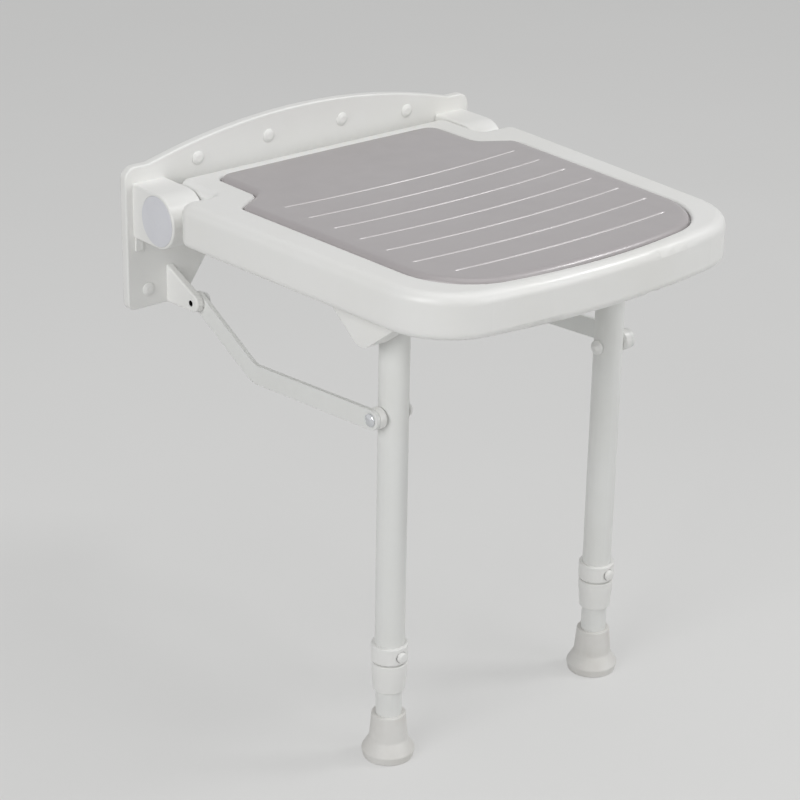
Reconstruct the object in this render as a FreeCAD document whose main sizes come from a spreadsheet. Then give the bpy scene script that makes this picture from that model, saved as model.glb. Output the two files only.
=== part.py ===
import FreeCAD, Part
import Sketcher
import math
import os

# A wall seat that folds up flat against its bracket, in millimetres.
# X runs to the right facing the wall, Y into the wall and Z up.
# The origin is on the wall, on the centre line, at the height of the seat's hinge.

SIZES = (
    ("seat_height", 502.8, "floor to the top of the seat frame"),
    ("hinge_depth", 47.0, "wall to the hinge axis and to the link's ear pivot"),
    ("hinge_to_top", 28.3, "hinge axis up to the top of the seat frame"),
    ("link_drop", 89.5, "hinge axis down to the ear pivot, and leg pivot down to the link joint"),
    ("leg_setback", 115.2, "front corner's sharp point back to the legs' axes"),
    ("leg_pivot_drop", 33.6, "hinge axis down to the leg pivots"),
    ("plate_thick", 8.0, "wall plate thickness"),
    ("plate_half", 213.0, "half the wall plate's width"),
    ("shoulder_rise", 42.5, "hinge axis up to the plate's shoulders"),
    ("shoulder_wide", 27.0, "plate's side to where the arch meets the shoulder"),
    ("shoulder_radius", 12.0, "rounding of the plate's shoulders"),
    ("arch_peak", 89.2, "hinge axis up to where the arch's flanks would meet"),
    ("arch_radius", 690.0, "radius of the arch"),
    ("lug_drop", 99.8, "hinge axis down to the plate's lower lugs"),
    ("lug_wide", 65.0, "plate's side to the inner foot of the lug"),
    ("lug_radius", 8.0, "rounding of the lugs' outer corners"),
    ("waist_drop", 34.5, "hinge axis down to the plate's middle lower edge"),
    ("lug_flank", 45.0, "inner foot of the lug inwards to the end of that edge"),
    ("plate_edge", 1.8, "rounding of the plate's front edge"),
    ("housing_inset", 7.8, "plate's side to the hinge housing's outer face"),
    ("housing_wide", 36.7, "width of the hinge housing"),
    ("housing_nose", 26.5, "radius of the hinge housing's nose"),
    ("housing_edge", 1.8, "rounding of the hinge housing"),
    ("housing_wall", 4.0, "wall of the hollow hinge housing"),
    ("ear_offset", 6.5, "hinge housing's inner face to the ear's inner face"),
    ("ear_thick", 6.7, "thickness of the ear"),
    ("ear_nose", 10.4, "radius of the ear's nose"),
    ("ear_belly", 8.2, "ear pivot down to the ear's lower edge at its nose"),
    ("ear_root_bottom", 10.0, "ear pivot down to the ear's lower edge at the plate"),
    ("ear_edge", 2.0, "rounding of the ear"),
    ("step_inset", 1.0, "hinge housing's outer face to the step under it"),
    ("step_wide", 8.0, "width of the step under the housing"),
    ("step_proud", 2.5, "how far the step stands out of the plate"),
    ("step_drop", 40.0, "hinge axis down to the end of the step"),
    ("ear_root_drop", 60.0, "hinge axis down to the ear's upper root"),
    ("ear_shoulder_drop", 82.6, "hinge axis down to the ear's upper corner"),
    ("screw_hole_radius", 3.25, "wall screw hole radius"),
    ("screw_cap_radius", 6.7, "screw cap radius"),
    ("screw_cap_proud", 2.2, "how far a screw cap stands off the plate"),
    ("screw_cap_rim", 0.7, "height of a screw cap's straight rim"),
    ("screw_cap_top", 3.4, "radius of a screw cap's flat top"),
    ("screw_cap_round", 4.0, "rounding of a screw cap's top"),
    ("screw_sink_radius", 5.6, "radius of the screw head's recess"),
    ("screw_sink_depth", 4.0, "depth of the screw head's recess"),
    ("upper_outer_inset", 83.5, "plate's side to the outer upper screws"),
    ("upper_outer_z", 37.5, "hinge axis up to the outer upper screws"),
    ("upper_inner_x", 45.5, "centre line to the inner upper screws"),
    ("upper_inner_z", 44.0, "hinge axis up to the inner upper screws"),
    ("lower_inset", 23.0, "plate's side to the lower screws"),
    ("lower_drop", 81.5, "hinge axis down to the lower screws"),
    ("hinge_cap_radius", 24.2, "radius of the hinge's end disc"),
    ("hinge_cap_sink", 3.0, "how deep the end disc is let in"),
    ("hinge_cap_proud", 1.0, "how far the end disc stands out"),
    ("hinge_cap_edge", 0.7, "rounding of the end disc's edge"),
    ("hinge_pin_radius", 5.5, "hinge pin radius"),
    ("hinge_head_radius", 10.0, "hinge pin head radius"),
    ("hinge_head_thick", 3.5, "hinge pin head thickness"),
    ("clip_seat", 2.0, "hinge pin's end to its clip"),
    ("bush_wall", 2.5, "wall of the hinge bush"),
    ("bush_flange", 1.5, "thickness of the hinge bush's flange"),
    ("bush_length", 27.0, "length of the hinge bush"),
    ("boss_radius", 10.5, "radius of the boss round the hinge bush"),
    ("clip_thick", 1.2, "thickness of the hinge pin's clip"),
    ("clip_groove", 1.0, "depth of the hinge pin's groove for its clip"),
    ("clip_radius", 8.5, "radius of the hinge pin's clip"),
    ("fit", 0.05, "clearance of a running fit, on the radius"),
    ("slide_fit", 0.12, "clearance of the telescoping leg, on the radius"),
    ("gap", 0.3, "clearance between parts that don't touch"),
    ("soft_edge", 1.0, "rounding of small turned edges"),
    ("fine_edge", 0.5, "rounding of washers and rivet heads"),
    ("seat_thick", 42.3, "thickness of the seat frame"),
    ("seat_rear", 22.0, "wall to the seat's rear edge"),
    ("seat_clearance", 2.0, "hinge housing to the seat frame"),
    ("rail_rear", 81.0, "wall to the rear ends of the side rails"),
    ("rail_wide", 40.5, "width of a rail beside its hinge housing"),
    ("rail_taper_mid", 6.2, "how far a rail's side comes in from its rear end to mid depth"),
    ("rail_mid", 200.0, "wall to mid depth"),
    ("rail_taper_front", 12.7, "how far it comes in from its rear end to its front end"),
    ("rail_end", 110.0, "front corner's sharp point back to the rail's front end"),
    ("rail_blend", 600.0, "radius of the rails' gentle curve"),
    ("front_taper", 19.1, "how far a front corner's sharp point lies inside the rail's rear end"),
    ("front_depth", 421.0, "wall to the front corner's sharp point"),
    ("front_radius", 70.0, "radius of the front corners"),
    ("front_bulge", 28.2, "front corners on to where the front's two flanks would meet"),
    ("bow_radius", 770.0, "radius of the bowed front"),
    ("seat_corner", 13.0, "rounding of the seat's rear corners, in plan"),
    ("notch_corner", 4.0, "rounding of the notches' inner corners, in plan"),
    ("seat_edge_top", 10.0, "rounding of the seat's top edge"),
    ("seat_edge_bottom", 8.0, "rounding of the seat's bottom edge"),
    ("rim", 13.0, "width of the rim under the seat"),
    ("skin", 4.0, "thickness of the seat frame's top skin"),
    ("panel_thick", 3.0, "thickness of the base panel"),
    ("rib_thick", 2.5, "thickness of the ribs inside the seat"),
    ("rib_inner_x", 28.0, "centre line to the inner ribs"),
    ("rib_outer_x", 78.0, "centre line to the outer ribs"),
    ("screw_boss_radius", 5.5, "radius of the screw bosses inside the seat"),
    ("screw_radius", 2.0, "radius of the seat's screws"),
    ("screw_head_radius", 4.0, "radius of the seat screws' heads"),
    ("screw_length", 16.0, "length of the seat's screws"),
    ("pad_sink", 5.0, "how deep the cushion is let into the seat frame"),
    ("pad_lip", 3.5, "rounding of the seat frame's edge round the cushion"),
    ("pad_proud", 3.5, "how far the cushion stands above the seat frame"),
    ("pad_rear", 41.0, "wall to the cushion's rear edge"),
    ("pad_narrow_inset", 31.5, "seat's side to the cushion's narrow part"),
    ("pad_narrow_end", 108.0, "wall to the end of the cushion's narrow part"),
    ("pad_wide_start", 129.0, "wall to the start of the cushion's wide part"),
    ("pad_wide_inset", 32.8, "seat's side at mid depth to the cushion's wide part"),
    ("pad_front_inset", 29.9, "seat's front corner in to the cushion's, across"),
    ("pad_front_setback", 16.0, "seat's front corner back to the cushion's"),
    ("pad_front_radius", 70.0, "radius of the cushion's front corners"),
    ("pad_bulge", 28.0, "cushion's front corners on to where its front flanks would meet"),
    ("pad_bow_radius", 560.0, "radius of the cushion's bowed front"),
    ("pad_corner", 16.0, "rounding of the cushion's rear corners, in plan"),
    ("pad_step_radius", 11.0, "rounding of the cushion's side steps, in plan"),
    ("pad_edge", 7.5, "rounding of the cushion's top edge"),
    ("pad_crown_radius", 20000.0, "radius of the cushion's slight crown"),
    ("channel_first", 157.0, "wall to the ends of the first channel"),
    ("channel_setback", 31.8, "cushion's front corner back to the ends of the last channel"),
    ("channel_inset", 26.0, "cushion's side to the ends of the channels"),
    ("channel_last_inset", 41.0, "cushion's side to the ends of the last channel"),
    ("channel_bow", 9.0, "how far a channel's middle lies in front of its ends"),
    ("channel_wide", 2.0, "width of a channel"),
    ("channel_deep", 1.7, "depth of a channel under the crown"),
    ("base_thick", 3.0, "thickness of the leg bracket's base"),
    ("base_flange", 14.0, "leg bracket's inner cheek in to its inner edge"),
    ("base_front", 66.0, "leg axis to the leg bracket's front edge"),
    ("cheek_thick", 22.5, "thickness of the leg bracket's outer cheek"),
    ("inner_cheek_thick", 12.5, "thickness of its inner cheek"),
    ("cheek_reach", 52.0, "leg axis to the root of a cheek"),
    ("cheek_point", 21.4, "leg pivot down to the sharp point of a cheek's flanks"),
    ("cheek_nose", 17.0, "radius of a cheek's nose"),
    ("cheek_gap", 2.0, "gap between a leg tube and a cheek"),
    ("pivot_radius", 5.0, "leg pivot pin radius"),
    ("pivot_head_radius", 8.0, "leg pivot pin head radius"),
    ("pivot_head_thick", 3.0, "leg pivot pin head thickness"),
    ("pivot_reach", 16.5, "how deep the leg pivot pin's end lies in the outer cheek"),
    ("pivot_washer_radius", 9.0, "leg pivot washer radius"),
    ("tube_radius", 14.0, "leg tube radius"),
    ("tube_wall", 1.4, "leg tube wall"),
    ("tube_above_pivot", 6.0, "leg pivot up to the top of the leg tube"),
    ("plug_length", 32.0, "length of the plug in the leg tube's top"),
    ("plug_cap", 1.5, "thickness of the plug on top of the tube"),
    ("inner_tube_radius", 12.4, "inner leg tube radius"),
    ("inner_tube_wall", 1.2, "inner leg tube wall"),
    ("inner_tube_top", 240.0, "floor to the top of the inner leg tube"),
    ("guide_cap", 3.0, "thickness of the guide on top of the inner tube"),
    ("guide_stem", 12.0, "length of the guide's stem in the inner tube"),
    ("hole_pitch", 25.0, "distance between the height holes"),
    ("hole_radius", 4.5, "height hole radius"),
    ("sleeve_bottom", 72.0, "floor to the bottom of the end sleeve"),
    ("sleeve_height", 29.0, "height of the end sleeve"),
    ("sleeve_lip", 1.5, "thickness of the sleeve's lip under the leg tube"),
    ("sleeve_band", 8.0, "height of the sleeve's straight upper band"),
    ("sleeve_radius", 16.8, "radius of the end sleeve at its top"),
    ("sleeve_foot_radius", 15.2, "radius of the end sleeve at its bottom"),
    ("ring_bottom", 103.0, "floor to the bottom of the lock ring"),
    ("ring_height", 17.0, "height of the lock ring"),
    ("ring_radius", 17.4, "radius of the lock ring"),
    ("ring_slot", 7.0, "width of the lock ring's slot"),
    ("button_height", 111.0, "floor to the lock button's axis"),
    ("button_radius", 5.2, "lock button radius"),
    ("button_proud", 3.4, "how far the lock button stands off the ring"),
    ("button_round", 2.3, "rounding of the lock button"),
    ("button_travel", 2.6, "how far the lock button is pressed"),
    ("foot_height", 46.0, "height of the foot"),
    ("foot_base_radius", 23.6, "radius of the foot's sole"),
    ("foot_flare_radius", 25.3, "largest radius of the foot"),
    ("foot_flare_height", 8.0, "floor to the foot's largest radius"),
    ("foot_neck_radius", 18.4, "radius above the foot's flare"),
    ("foot_neck_height", 20.0, "floor to the top of the foot's flare"),
    ("foot_top_radius", 16.1, "radius of the foot at its top"),
    ("foot_sole", 6.0, "thickness of the foot's sole"),
    ("foot_sole_edge", 1.5, "rounding of the foot's sole"),
    ("foot_flare_edge", 2.5, "rounding of the foot's flare"),
    ("foot_neck_round", 6.0, "rounding above the foot's flare"),
    ("washer_room", 2.0, "room for the washer between ear and link"),
    ("spacer_room", 8.5, "room for the spacer between link and leg tube"),
    ("link_thick", 4.0, "thickness of the link"),
    ("link_half_wide", 9.5, "half the width of the link"),
    ("link_elbow_depth", 133.5, "wall to the link's bend"),
    ("link_elbow_drop", 135.5, "hinge axis down to the link's bend"),
    ("link_bend_radius", 26.0, "radius of the link's bend on its middle line"),
    ("link_pin_radius", 4.0, "radius of the link's rivet and bolt"),
    ("link_play", 0.3, "radial play of the link on its bolt"),
    ("rivet_bore", 2.9, "bore of the link's hollow rivet"),
    ("rivet_head_radius", 7.5, "radius of the rivet's inner head"),
    ("rivet_head_thick", 6.0, "thickness of the rivet's inner head"),
    ("rivet_head_round", 2.2, "rounding of the rivet's inner head"),
    ("washer_radius", 10.0, "radius of the washer between ear and link"),
    ("bolt_head_radius", 6.2, "radius of the link bolt's head"),
    ("bolt_head_thick", 3.2, "height of the link bolt's head"),
    ("bolt_head_rim", 1.3, "height of the bolt head's straight rim"),
    ("bolt_head_top", 2.8, "radius of the bolt head's flat top"),
    ("dome_round", 3.0, "rounding of the tops of bolt head and cap nut"),
    ("bolt_reach", 3.0, "how far the link bolt reaches into its cap nut"),
    ("spacer_radius", 10.0, "radius of the spacer between leg and link"),
    ("spacer_foot_radius", 8.0, "radius of the spacer at the leg tube"),
    ("spacer_chamfer", 2.0, "length of the spacer's chamfer"),
    ("dome_radius", 7.0, "radius of the cap nut on the leg's inner side"),
    ("dome_height", 6.2, "height of that cap nut"),
    ("dome_rim", 2.2, "height of the cap nut's straight rim"),
    ("dome_top", 2.5, "radius of the cap nut's flat top"),
)

# Sizes that follow from the ones above
DERIVED = (
    ("shoulder_inner", "=plate_half - shoulder_wide", "centre line to the arch's end"),
    ("lug_inner", "=plate_half - lug_wide", "centre line to the inner foot of the lug"),
    ("waist_half", "=lug_inner - lug_flank", "half the plate's middle lower edge"),
    ("upper_outer_x", "=plate_half - upper_outer_inset", "centre line to the outer upper screws"),
    ("lower_x", "=plate_half - lower_inset", "centre line to the lower screws"),
    ("housing_outer", "=plate_half - housing_inset", "centre line to the housing's outer face"),
    ("housing_inner", "=housing_outer - housing_wide", "centre line to the housing's inner face"),
    ("ear_inner", "=housing_inner - ear_offset", "centre line to the ear's inner face"),
    ("link_outer", "=ear_inner - washer_room", "centre line to the link's outer face"),
    ("link_inner", "=link_outer - link_thick", "centre line to the link's inner face"),
    ("tube_side", "=link_inner - spacer_room", "centre line to the outer side of the leg tube"),
    ("leg_x", "=tube_side - tube_radius", "centre line to the leg's axis"),
    ("cheek_face", "=tube_side + cheek_gap", "centre line to the outer cheek's inner face"),
    ("cheek_outer", "=cheek_face + cheek_thick", "centre line to the leg bracket's outer face"),
    ("pivot_end", "=cheek_face + pivot_reach", "centre line to the leg pivot pin's end"),
    ("inner_cheek_face", "=leg_x - tube_radius - cheek_gap", "centre line to the inner cheek's outer face"),
    ("cheek_inner", "=inner_cheek_face - inner_cheek_thick", "centre line to the inner cheek's inner face"),
    ("base_inner", "=cheek_inner - base_flange", "centre line to the leg bracket's inner edge"),
    ("seat_waist_half", "=housing_inner - seat_clearance", "half the seat's width between the housings"),
    ("rail_half_rear", "=seat_waist_half + rail_wide", "half the seat's width at the rails' rear ends"),
    ("rail_half_mid", "=rail_half_rear - rail_taper_mid", "half the seat's width at mid depth"),
    ("rail_half_front", "=rail_half_rear - rail_taper_front", "half the seat's width at the rails' fronts"),
    ("front_half", "=rail_half_rear - front_taper", "centre line to the front corner's sharp point"),
    ("rail_front", "=front_depth - rail_end", "wall to the front of the rails"),
    ("front_peak", "=front_depth + front_bulge", "wall to where the front's flanks would meet"),
    ("leg_depth", "=front_depth - leg_setback", "wall to the legs' axes"),
    ("pad_narrow_half", "=seat_waist_half - pad_narrow_inset", "half the cushion's width at the rear"),
    ("pad_wide_half", "=rail_half_mid - pad_wide_inset", "half the cushion's width past its steps"),
    ("pad_front_half", "=front_half - pad_front_inset", "centre line to the cushion's front corner"),
    ("pad_front_depth", "=front_depth - pad_front_setback", "wall to the cushion's front corner"),
    ("pad_peak", "=pad_front_depth + pad_bulge", "wall to where the cushion's flanks would meet"),
    ("channel_half", "=pad_wide_half - channel_inset", "half the length of a channel"),
    ("channel_last_half", "=pad_wide_half - channel_last_inset", "half the length of the last channel"),
    ("channel_room", "=pad_front_depth - channel_setback - channel_first", "first channel to the last"),
)

CHANNELS = 7
HEIGHT_HOLES = (-1, 0, 1, 2, 3)
SIDES = (("left", -1), ("right", 1))
CLEAR = 1.0  # how far cuts run past a face
FILLED = 0.995  # the share of a line that its two roundings may fill


class Size:
    """A length that carries its value and the sheet expression that drives it."""

    def __init__(self, value, text=None):
        self.value = float(value)
        self.text = repr(self.value) if text is None else text

    def joined(self, sign, other, value):
        return Size(value, f"({self.text} {sign} {size_of(other).text})")

    def __add__(self, other):
        return self.joined("+", other, self.value + size_of(other).value)

    def __sub__(self, other):
        return self.joined("-", other, self.value - size_of(other).value)

    def __mul__(self, other):
        return self.joined("*", other, self.value * size_of(other).value)

    def __truediv__(self, other):
        return self.joined("/", other, self.value / size_of(other).value)

    def __neg__(self):
        return Size(0) - self

    def __rmul__(self, other):
        return size_of(other) * self

    def __radd__(self, other):
        return size_of(other) + self

    def __rsub__(self, other):
        return size_of(other) - self


def size_of(item):
    return item if isinstance(item, Size) else Size(item)


class Named:
    """The driving sizes, each under its own name."""


doc = FreeCAD.newDocument("WallSeat")
sheet = doc.addObject("Spreadsheet::Sheet", "Sizes")
s = Named()
for row, (alias, value, meaning) in enumerate(SIZES + DERIVED, start=1):
    sheet.set(f"A{row}", meaning)
    sheet.set(f"B{row}", str(value))
    sheet.setAlias(f"B{row}", alias)
doc.recompute()
for alias, _, _ in SIZES + DERIVED:
    setattr(s, alias, Size(sheet.get(alias), f"Sizes.{alias}"))

# Places that several pieces share
seat_top = s.hinge_to_top
seat_bottom = seat_top - s.seat_thick
floor = s.hinge_to_top - s.seat_height
leg_y = -s.leg_depth
pivot_z = -s.leg_pivot_drop
joint_z = pivot_z - s.link_drop
hinge_y = -s.hinge_depth
ear_z = -s.link_drop
panel_top = seat_bottom + s.panel_thick
recess_floor = seat_top - s.pad_sink
cavity_top = recess_floor - s.skin
tube_bore = s.tube_radius - s.tube_wall
bush_radius = s.hinge_pin_radius + s.bush_wall
tube_top = pivot_z + s.tube_above_pivot
button_z = floor + s.button_height

finished = {}


def bind(item, **properties):
    """Ties properties of an object to the sheet; a double underscore stands for a dot."""
    for name, length in properties.items():
        path = name.replace("__", ".")
        item.setExpression(path, size_of(length).text)


def finish(label, item):
    item.Label = label
    finished[label] = item
    return item


def new_body(label):
    return finish(label, doc.addObject("PartDesign::Body", label))


def place(item, across=0, along=0, up=0, half_turn=False):
    """Puts a piece at a point, turned half way about Z where it faces left."""
    if half_turn:
        item.Placement.Rotation = FreeCAD.Rotation(FreeCAD.Vector(0, 0, 1), 180)
    bind(item, Placement__Base__x=across, Placement__Base__y=along, Placement__Base__z=up)


def new_sketch(body, name, plane, offset=0):
    """An empty sketch on one of the body's origin planes, moved along its normal."""
    sketch = body.newObject("Sketcher::SketchObject", name)
    support = [f for f in body.Origin.OriginFeatures if f.Role == plane][0]
    sketch.AttachmentSupport = (support, "")
    sketch.MapMode = "FlatFace"
    bind(sketch, AttachmentOffset__Base__z=offset)
    return sketch


def pin_point(sketch, geometry, end, across, up):
    """Fixes a point of the sketch at a named place."""
    for kind, length in (("DistanceX", across), ("DistanceY", up)):
        length = size_of(length)
        rule = sketch.addConstraint(Sketcher.Constraint(kind, -1, 1, geometry, end, length.value))
        sketch.setExpression(f"Constraints[{rule}]", length.text)


def set_radius(sketch, geometry, radius):
    rule = sketch.addConstraint(Sketcher.Constraint("Radius", geometry, radius.value))
    sketch.setExpression(f"Constraints[{rule}]", radius.text)


def fitted_radii(places, radii, closed):
    """Corner radii that leave room for each other on the lines between them."""
    count = len(places)
    fitted = [radius.value for radius in radii]
    halves = []
    for i in range(count):
        before, here, after = places[i - 1], places[i], places[(i + 1) % count]
        turn = (here - before).getAngle(after - here)
        halves.append(math.tan(turn / 2))
    for i in range(count if closed else count - 1):
        j = (i + 1) % count
        length = (places[j] - places[i]).Length
        needed = fitted[i] * halves[i] + fitted[j] * halves[j]
        if needed > FILLED * length:
            share = FILLED * length / needed
            fitted[i] *= share
            fitted[j] *= share
    return fitted


def trace(sketch, corners, closed=True):
    """Draws lines through corners (across, up, radius), with tangent arcs at the radii."""
    corners = [(*corner, 0)[:3] for corner in corners]
    points = [(size_of(a), size_of(b)) for a, b, _ in corners]
    places = [FreeCAD.Vector(a.value, b.value, 0) for a, b in points]
    radii = [size_of(radius) for _, _, radius in corners]
    fitted = fitted_radii(places, radii, closed)
    count = len(places)
    leaves, arrives, arcs = list(places), list(places), {}
    for i, radius in enumerate(fitted):
        if radius <= 0:
            continue
        ahead = (places[i] - places[i - 1]).normalize()
        onward = (places[(i + 1) % count] - places[i]).normalize()
        reach = radius * math.tan(ahead.getAngle(onward) / 2)
        arrives[i] = places[i] - ahead * reach
        leaves[i] = places[i] + onward * reach
        left = ahead.cross(onward).z > 0
        side = FreeCAD.Vector(-ahead.y, ahead.x, 0) * (radius if left else -radius)
        centre = arrives[i] + side
        first, last = (arrives[i], leaves[i]) if left else (leaves[i], arrives[i])
        angles = [math.atan2(end.y - centre.y, end.x - centre.x) for end in (first, last)]
        circle = Part.Circle(centre, FreeCAD.Vector(0, 0, 1), radius)
        arcs[i] = (Part.ArcOfCircle(circle, *angles), left)
    spans = count if closed else count - 1
    lines = [
        sketch.addGeometry(Part.LineSegment(leaves[i], arrives[(i + 1) % count]))
        for i in range(spans)
    ]
    for i, (across, up) in enumerate(points):
        line_in = lines[i - 1]
        line_out = lines[i] if i < spans else None
        if i in arcs:
            shape, left = arcs[i]
            arc = sketch.addGeometry(shape)
            corner = sketch.addGeometry(Part.Point(places[i]), True)
            pin_point(sketch, corner, 1, across, up)
            sketch.addConstraint(Sketcher.Constraint("PointOnObject", corner, 1, line_in))
            sketch.addConstraint(Sketcher.Constraint("PointOnObject", corner, 1, line_out))
            start, end = (1, 2) if left else (2, 1)
            sketch.addConstraint(Sketcher.Constraint("Tangent", line_in, 2, arc, start))
            sketch.addConstraint(Sketcher.Constraint("Tangent", arc, end, line_out, 1))
            if fitted[i] == radii[i].value:
                set_radius(sketch, arc, radii[i])
            else:
                set_radius(sketch, arc, Size(fitted[i]))
        elif closed or 0 < i < spans:
            sketch.addConstraint(Sketcher.Constraint("Coincident", line_in, 2, line_out, 1))
            pin_point(sketch, line_out, 1, across, up)
        elif i == 0:
            pin_point(sketch, line_out, 1, across, up)
        else:
            pin_point(sketch, line_in, 2, across, up)
    return sketch


def draw_circles(sketch, circles):
    """Draws circles (across, up, radius)."""
    for across, up, radius in circles:
        across, up, radius = size_of(across), size_of(up), size_of(radius)
        centre = FreeCAD.Vector(across.value, up.value, 0)
        circle = Part.Circle(centre, FreeCAD.Vector(0, 0, 1), radius.value)
        geometry = sketch.addGeometry(circle)
        pin_point(sketch, geometry, 3, across, up)
        set_radius(sketch, geometry, radius)
    return sketch


def pad(body, sketch, length, reverse=False):
    feature = body.newObject("PartDesign::Pad", sketch.Name + "_pad")
    feature.Profile = sketch
    feature.Reversed = reverse
    bind(feature, Length=length)
    body.Tip = feature
    doc.recompute()
    return feature


def pocket(body, sketch, length=None, reverse=False):
    """Cuts the sketch out of the body, right through both ways where no length is given."""
    before = body.Shape.Volume
    feature = body.newObject("PartDesign::Pocket", sketch.Name + "_pocket")
    feature.Profile = sketch
    feature.Reversed = reverse
    if length is None:
        feature.Type = "ThroughAll"
        feature.Midplane = True
    else:
        bind(feature, Length=length)
    body.Tip = feature
    doc.recompute()
    if not body.Shape.Volume < before:
        raise RuntimeError(f"{feature.Name} cuts nothing")
    return feature


def mirror(body, name, originals):
    """Repeats features of the body on the other side of the centre line."""
    feature = body.newObject("PartDesign::Mirrored", name)
    feature.Originals = originals
    plane = [f for f in body.Origin.OriginFeatures if f.Role == "YZ_Plane"][0]
    feature.MirrorPlane = (plane, [""])
    body.Tip = feature
    doc.recompute()
    return feature


def round_edges(body, name, radius, wanted):
    """Rounds the body's edges that the test picks."""
    base = body.Tip
    names = [f"Edge{i}" for i, edge in enumerate(base.Shape.Edges, start=1) if wanted(edge)]
    feature = body.newObject("PartDesign::Fillet", name)
    feature.Base = (base, names)
    bind(feature, Radius=radius)
    body.Tip = feature
    doc.recompute()
    return feature


def turned(label, profile, along_x=True, kept=True):
    """A body turned about X or Z from a profile of (along, radius) or (radius, along)."""
    body = new_body(label) if kept else doc.addObject("PartDesign::Body", label)
    sketch = trace(new_sketch(body, label + "_profile", "XZ_Plane"), profile)
    feature = body.newObject("PartDesign::Revolution", label + "_turn")
    feature.Profile = sketch
    feature.ReferenceAxis = (sketch, ["H_Axis" if along_x else "V_Axis"])
    feature.Angle = 360
    doc.recompute()
    return body


def slab(body, name, side, inner, thick, corners):
    """A flat shape in the YZ plane that grows outwards from a distance off the centre line."""
    sketch = trace(new_sketch(body, name, "YZ_Plane", side * inner), corners)
    return pad(body, sketch, thick, reverse=side < 0)


def both_sides(corners):
    """A symmetric outline from the corners of its right half, middle to middle."""
    left = [(-corner[0], *corner[1:]) for corner in reversed(corners) if size_of(corner[0]).value > 0]
    return list(corners) + left


def flat_at(axis, position, tolerance=0.05):
    """A test for edges that lie wholly in a plane square to an axis."""

    def test(edge):
        low = getattr(edge.BoundBox, axis + "Min")
        high = getattr(edge.BoundBox, axis + "Max")
        return abs(low - position.value) < tolerance and abs(high - position.value) < tolerance

    return test


def wall_tops(body, low, high):
    """A test for the upper edges of the walls that stand between two heights."""
    level = flat_at("Z", high)
    tops = []
    for face in body.Tip.Shape.Faces:
        box = face.BoundBox
        if abs(box.ZMin - low.value) < 0.05 and abs(box.ZMax - high.value) < 0.05:
            tops.extend(edge for edge in face.Edges if level(edge))
    return lambda edge: any(edge.isSame(top) for top in tops)


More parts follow.
